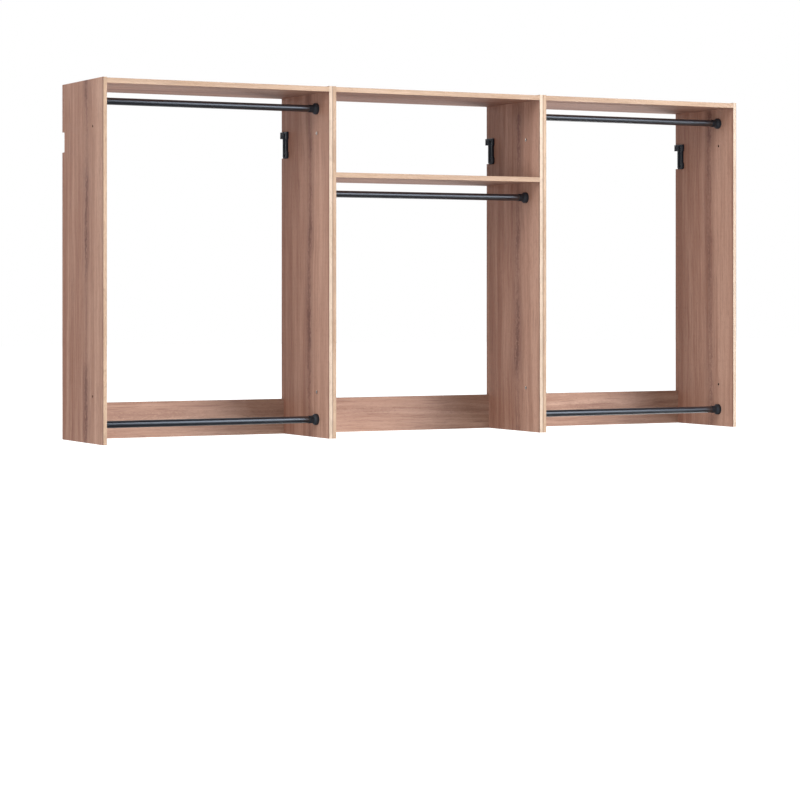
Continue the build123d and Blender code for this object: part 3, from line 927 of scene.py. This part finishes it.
# %% [markdown]
# ## The edge tapes
#
# The front edges wear a cream tape with the same grain, paler and finer, and a satin face. Where it was
# trimmed, a thin brown line shows, stronger on the outer edge than on the inner one. All tapes read the
# row's own coordinates, so on the panels the line follows the distance to the nearest side of a unit.
# The left panels' tapes are browner than the right ones', as in the photograph.

# %% Mix the edge tapes
UNIT_WIDTH = (cad_box[1].x - cad_box[0].x) / len(units)
PANEL_THICKNESS = inner_face["left_unit", "left"] - cad_box[0].x
OUTER_FROM, OUTER_TO, INNER_FROM, INNER_TO = 0.7 * MM, 1.8 * MM, 0.9 * MM, 0.3 * MM
TRIM_COLOUR = (0.17, 0.09, 0.06, 1)
FAR_OFF = 5.0
STREAK_SHARE = 0.72


def tape(name, lie, dark, light):
    """The grain without a heart line, in the tape's own colours. The distance from a unit's side goes up
    and down like a ping-pong ball along the row. It runs from nothing at a panel's outer face to the
    panel's thickness at its inner one, and that gives the two brown lines."""
    finish, tree, shader = new_finish(name)
    place, grain = grain_place(tree, lie)
    strip = place_group(
        tree, grain_group, Place=grain, Heart=FAR_OFF, Heart_strength=0.0, Contrast=0.9,
        Dark=dark, Light=light, Heart_colour=tuple(STREAK_SHARE * part for part in dark[:3]) + (1,),
    )
    colour = strip["Colour"]
    if lie == "up":
        row_x = add(tree, "SeparateXYZ", Vector=place).outputs["X"]
        from_side = sums(tree, "PINGPONG", sums(tree, "SUBTRACT", row_x, cad_box[0].x), UNIT_WIDTH / 2)
        outer_line = eased(tree, from_side, OUTER_FROM, OUTER_TO, 0.85, 0.0)
        inner_line = eased(
            tree, from_side, PANEL_THICKNESS - INNER_FROM, PANEL_THICKNESS - INNER_TO, 0.0, 0.5
        )
        colour = blended(tree, sums(tree, "ADD", outer_line, inner_line), colour, TRIM_COLOUR)
    marks = place_group(tree, smudge_group, Place=place, Size=0.08, Low=0.42, High=0.55)
    plug(tree, colour, shader.inputs["Base Color"])
    plug(tree, marks["Roughness"], shader.inputs["Roughness"])
    bump = add(tree, "Bump", Strength=0.3, Distance=0.0001, Height=strip["Height"])
    plug(tree, bump.outputs[0], shader.inputs["Normal"])
    return finish


left_tape = tape("edge tape on left panels", "up", (0.375, 0.232, 0.143, 1), (0.55, 0.38, 0.252, 1))
right_tape = tape("edge tape on right panels", "up", (0.50, 0.36, 0.254, 1), (0.68, 0.53, 0.40, 1))
shelf_tape = tape("edge tape on shelves", "along rail", (0.385, 0.240, 0.150, 1), (0.555, 0.382, 0.260, 1))
print("edge tapes: left panels, right panels, shelves")

# %% [markdown]
# ## Black parts and bright parts
#
# The rods are gloss black with a faint orange skin, as powder coat has. The sockets are moulded plastic,
# a touch greyer and nearly matte, with the fine even texture of a spark eroded mould. The brackets are
# black coat on steel, rubbed at the edges. The link heads are bright nickel and the cams duller zinc.
# They differ in the shader's own numbers more than in colour, because black is mostly what it reflects.
# The rods' roughness stays above 0.275: below it the renderer's noise filter takes a surface for a
# mirror, and a coat that crosses that value here and there comes out with specks.

# %% Mix the black and the plated finishes
SMUDGE_SIZE, SMUDGE_LIGHTER = 0.02, 1.35


def coated(name, base, rubbed, rub, low, high, skin, skin_height, metallic=0.0, level=0.5, ior=1.5):
    """A coat that shows the rubbed colour on worn edges, as much as rub says, with a roughness that
    smudges move between low and high. Its skin has so many waves to the metre, of the given height."""
    finish, tree, shader = new_finish(name)
    place = add(tree, "TexCoord").outputs["Object"]
    worn = add(tree, "Attribute", {"attribute_name": "worn"}).outputs["Fac"]
    marks = place_group(tree, smudge_group, Place=place, Size=SMUDGE_SIZE, Low=low, High=high)
    wear = place_group(tree, wear_group, Place=place, Worn=worn, Amount=rub)
    smudged = tuple(min(1, part * SMUDGE_LIGHTER) for part in base[:3]) + (1,)
    shade = blended(tree, marks["Mask"], base, smudged)
    plug(tree, blended(tree, wear["Mask"], shade, rubbed), shader.inputs["Base Color"])
    plug(tree, marks["Roughness"], shader.inputs["Roughness"])
    shader.inputs["Metallic"].default_value = metallic
    shader.inputs["Specular IOR Level"].default_value = level
    shader.inputs["IOR"].default_value = ior
    height = noise(tree, place, (skin, skin, skin), 3.0, 0.6)
    bump = add(tree, "Bump", Strength=0.5, Distance=skin_height, Height=height)
    plug(tree, bump.outputs[0], shader.inputs["Normal"])
    return finish


tube_finish = coated(
    "gloss black tube", (0.004, 0.006, 0.010, 1), grey(0.05), rub=0.3, low=0.28, high=0.31,
    skin=220, skin_height=0.000003, level=1.0, ior=1.6,
)
socket_finish = coated(
    "matte black plastic", (0.025, 0.030, 0.038, 1), (0.05, 0.05, 0.055, 1), rub=0.5, low=0.45, high=0.58,
    skin=1400, skin_height=0.00006, level=0.3,
)
bracket_finish = coated(
    "black bracket coat", (0.012, 0.016, 0.024, 1), (0.07, 0.07, 0.075, 1), rub=0.5, low=0.45, high=0.58,
    skin=900, skin_height=0.00005, level=0.2,
)
screw_finish = coated(
    "black screw", (0.012, 0.012, 0.013, 1), (0.20, 0.19, 0.18, 1), rub=0.8, low=0.25, high=0.40,
    skin=900, skin_height=0.00003, metallic=0.6,
)
nickel_finish = coated(
    "bright nickel", (0.52, 0.49, 0.46, 1), (0.70, 0.67, 0.64, 1), rub=0.6, low=0.16, high=0.30,
    skin=600, skin_height=0.00002, metallic=1.0,
)
zinc_finish = coated(
    "dull zinc", grey(0.33), grey(0.55), rub=0.6, low=0.38, high=0.52,
    skin=800, skin_height=0.00005, metallic=1.0,
)
print("hard finishes: tube, socket, bracket, screw, nickel, zinc")

# %% [markdown]
# ## Finish every piece
#
# Each made piece takes one finish. A measured board keeps its mesh, and only the finish in its slot
# changes. The cam bolts lie hidden inside the boards, but they get their plating all the same.

# %% Lay the finishes on
for pieces, finish in [
    (black_rods, tube_finish), (black_sockets, socket_finish), (black_brackets, bracket_finish),
    ([bracket_screws], screw_finish), ([link_bolts, link_nuts], nickel_finish), ([cams], zinc_finish),
]:
    for piece in pieces:
        piece.data.materials.append(finish)

kept = {}
for unit in units:
    for side in ways:
        kept[f"{unit}_{side}_panel"] = panel_finish
        kept[f"{unit}_{side}_panel_edge_tape"] = left_tape if side == "left" else right_tape
    kept[f"{unit}_back_rail"] = rail_finish
for shelf in shelves:
    kept[shelf] = shelf_finish
    kept[shelf + "_edge_tape"] = shelf_tape
kept["cam_bolts"] = zinc_finish
for name, finish in kept.items():
    nodes[name].material_slots[0].material = finish
print("measured solids with a finish:", len(kept))

# %% [markdown]
# ## The floor
#
# The photograph is a cut-out on white. A pale floor lies well below, as under a closet on its wall, and
# the camera sees it as white paper. It casts no shadow, so the low lamps under it reach the undersides
# of the shelves. Glossy surfaces see it dimmed in front, so the lower half of each gloss rod stays
# black, and see it faintly glowing behind the closet, which gives the laminate a cool sheen at a slant.

# %% Lay the floor
FLOOR_Z, FLOOR_REACH = -1.98, 60.0
SWEEP_SHEEN = 0.15
FRONT_END, REAR_END = -0.5, 1.5
floor_mesh = bpy.data.meshes.new("pale floor")
corners = np.array([(-1, -1, 0), (1, -1, 0), (1, 1, 0), (-1, 1, 0)]) * FLOOR_REACH + (0, 0, FLOOR_Z)
floor_mesh.from_pydata(corners.tolist(), [], [(0, 1, 2, 3)])
floor = bpy.data.objects.new("pale_floor", floor_mesh)
bpy.context.scene.collection.objects.link(floor)
floor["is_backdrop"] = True
floor.visible_shadow = False
floor_finish, tree, shader = new_finish("pale floor")
floor_place = add(tree, "TexCoord").outputs["Object"]
clouds = eased(tree, noise(tree, floor_place, (0.6, 0.6, 0.6), 3.0), 0.3, 0.7)
paint = blended(tree, clouds, grey(0.45), grey(0.49))
path = add(tree, "LightPath").outputs
floor_y = add(tree, "SeparateXYZ", Vector=floor_place).outputs["Y"]
in_front = eased(tree, floor_y, FRONT_END, REAR_END, 1.0, 0.0)
dimmed = sums(tree, "MULTIPLY", path["Is Glossy Ray"], in_front)
plug(tree, blended(tree, dimmed, paint, grey(0.09)), shader.inputs["Base Color"])
shader.inputs["Roughness"].default_value = 0.9
shader.inputs["Emission Color"].default_value = grey(1)
behind = sums(tree, "MULTIPLY", path["Is Glossy Ray"], sums(tree, "SUBTRACT", 1.0, in_front))
glow = sums(tree, "MULTIPLY_ADD", behind, SWEEP_SHEEN, path["Is Camera Ray"])
plug(tree, glow, shader.inputs["Emission Strength"])
floor_mesh.materials.append(floor_finish)
print("floor at", FLOOR_Z, "m, glow behind", SWEEP_SHEEN)

# %% [markdown]
# ## The backdrop
#
# The sky is white to the camera, and a little even room light fills the corners. Glossy surfaces see it
# only towards the wall, as the upper part of a sweep of paper that stands behind the closet.

# %% Hang the backdrop
BACKDROP_SHEEN, ROOM_LIGHT = 0.45, 0.20
SWEEP_FOOT, SWEEP_TOP = -0.1, 0.3
sky = bpy.data.worlds.new("white studio")
bpy.context.scene.world = sky
sky.use_nodes = True
tree = sky.node_tree
path = add(tree, "LightPath").outputs
towards = add(tree, "SeparateXYZ", Vector=add(tree, "TexCoord").outputs["Generated"]).outputs["Y"]
backdrop = eased(tree, towards, SWEEP_FOOT, SWEEP_TOP, 0.0, BACKDROP_SHEEN)
sheen = sums(tree, "MULTIPLY", path["Is Glossy Ray"], backdrop)
seen = sums(tree, "MULTIPLY_ADD", path["Is Diffuse Ray"], ROOM_LIGHT, path["Is Camera Ray"])
plug(tree, sums(tree, "ADD", seen, sheen), tree.nodes["Background"].inputs["Strength"])
tree.nodes["Background"].inputs["Color"].default_value = grey(1)
print("backdrop sheen", BACKDROP_SHEEN, "and room light", ROOM_LIGHT)

# %% [markdown]
# ## The lamps
#
# The shadows in the photograph say where the light came from. Each back rail is bright at its left end
# and dark at its right one, so the main lamp and the high one stand at the front right, where the right
# panels block them. A high and a low fill at the left light the faces that look that way, right up to
# the shelves, and two more low lamps light the undersides from below. The line of light along each rod
# is a lamp of its own, tall and cool, hung where the rods mirror it towards the camera. The main and
# the high lamp are kept out of glossy reflections, so that they don't burn a second line. All are soft
# and thirty metres off, so the three units are lit alike. The last lamp lights the back for other views.

# %% Set up the lamps
AIM = Vector((0, -0.2, -0.4))
AWAY = 30.0


def lamp(name, turn, rise, power, width, height, tint=(1.0, 1.0, 1.0), mirrored=True):
    """A soft rectangular lamp, turned so many degrees from the front towards the right, and risen.
    Glossy surfaces show its reflection only where mirrored is true."""
    turn, rise = math.radians(turn), math.radians(rise)
    out = Vector((math.sin(turn) * math.cos(rise), -math.cos(turn) * math.cos(rise), math.sin(rise)))
    light = bpy.data.lights.new(name, "AREA")
    light.shape = "RECTANGLE"
    light.size, light.size_y, light.energy, light.color = width, height, power, tint
    stand = bpy.data.objects.new(name, light)
    stand.location = AIM + out * AWAY
    stand.rotation_euler = (-out).to_track_quat("-Z", "Y").to_euler()
    stand.visible_glossy = mirrored
    bpy.context.scene.collection.objects.link(stand)


lamp("main lamp", 40, 13, 5100, 13, 12, mirrored=False)
lamp("rod shine", 28, 14, 5000, 11.5, 30, (0.76, 0.85, 1.0))
lamp("high lamp", 45, 35, 3700, 10, 7.5, mirrored=False)
lamp("left fill", -72, 22, 4200, 17.5, 15)
lamp("low left lamp", -58, -12, 2300, 15, 12, (0.92, 0.95, 1.0))
lamp("far left lamp", -110, 20, 600, 15, 15)
lamp("low front lamp", 55, -22, 2000, 12, 8)
lamp("low back lamp", 122, -38, 5600, 12, 8)
lamp("wall side lamp", 180, 12, 1800, 10, 7.5)

# %% [markdown]
# ## The camera
#
# The picture was taken from far to the left of the closet and a little below its middle, with a long
# lens held level, so upright edges stay upright. The place and the turn come from matching the left
# unit's corners. The frame is shifted down a little, because the picture leaves its lower half empty.

# %% Set the camera
IMAGE_SIDE, SENSOR_SIDE = 800.0, 36.0
FOCAL_PIXELS, HORIZON_ROW, YAW = 2569.6, 293.4, math.radians(27.62)
CAMERA_PLACE = (-3.974, -7.670, -0.507)
eye = bpy.data.cameras.new("photo camera")
eye.sensor_width = SENSOR_SIDE
eye.lens = FOCAL_PIXELS / IMAGE_SIDE * eye.sensor_width
eye.shift_y = (HORIZON_ROW - IMAGE_SIDE / 2) / IMAGE_SIDE
camera = bpy.data.objects.new("photo_camera", eye)
camera.location = CAMERA_PLACE
camera.rotation_euler = (math.pi / 2, 0, -YAW)
bpy.context.scene.collection.objects.link(camera)
bpy.context.scene.camera = camera
bpy.context.scene.view_settings.view_transform = "Standard"
print("camera lens:", round(eye.lens, 1), "mm, shift:", round(eye.shift_y, 3))

# %% [markdown]
# ## Compare the two sizes and close
#
# The dressed closet must be exactly as large as the measured one. The largest difference between the
# two boxes is printed in millimetres.

# %% Compare the sizes
dressed_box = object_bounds()
differences = [abs(a - b) for c, d in zip(cad_box, dressed_box) for a, b in zip(c, d)]
print("largest difference in mm:", max(differences) / MM)
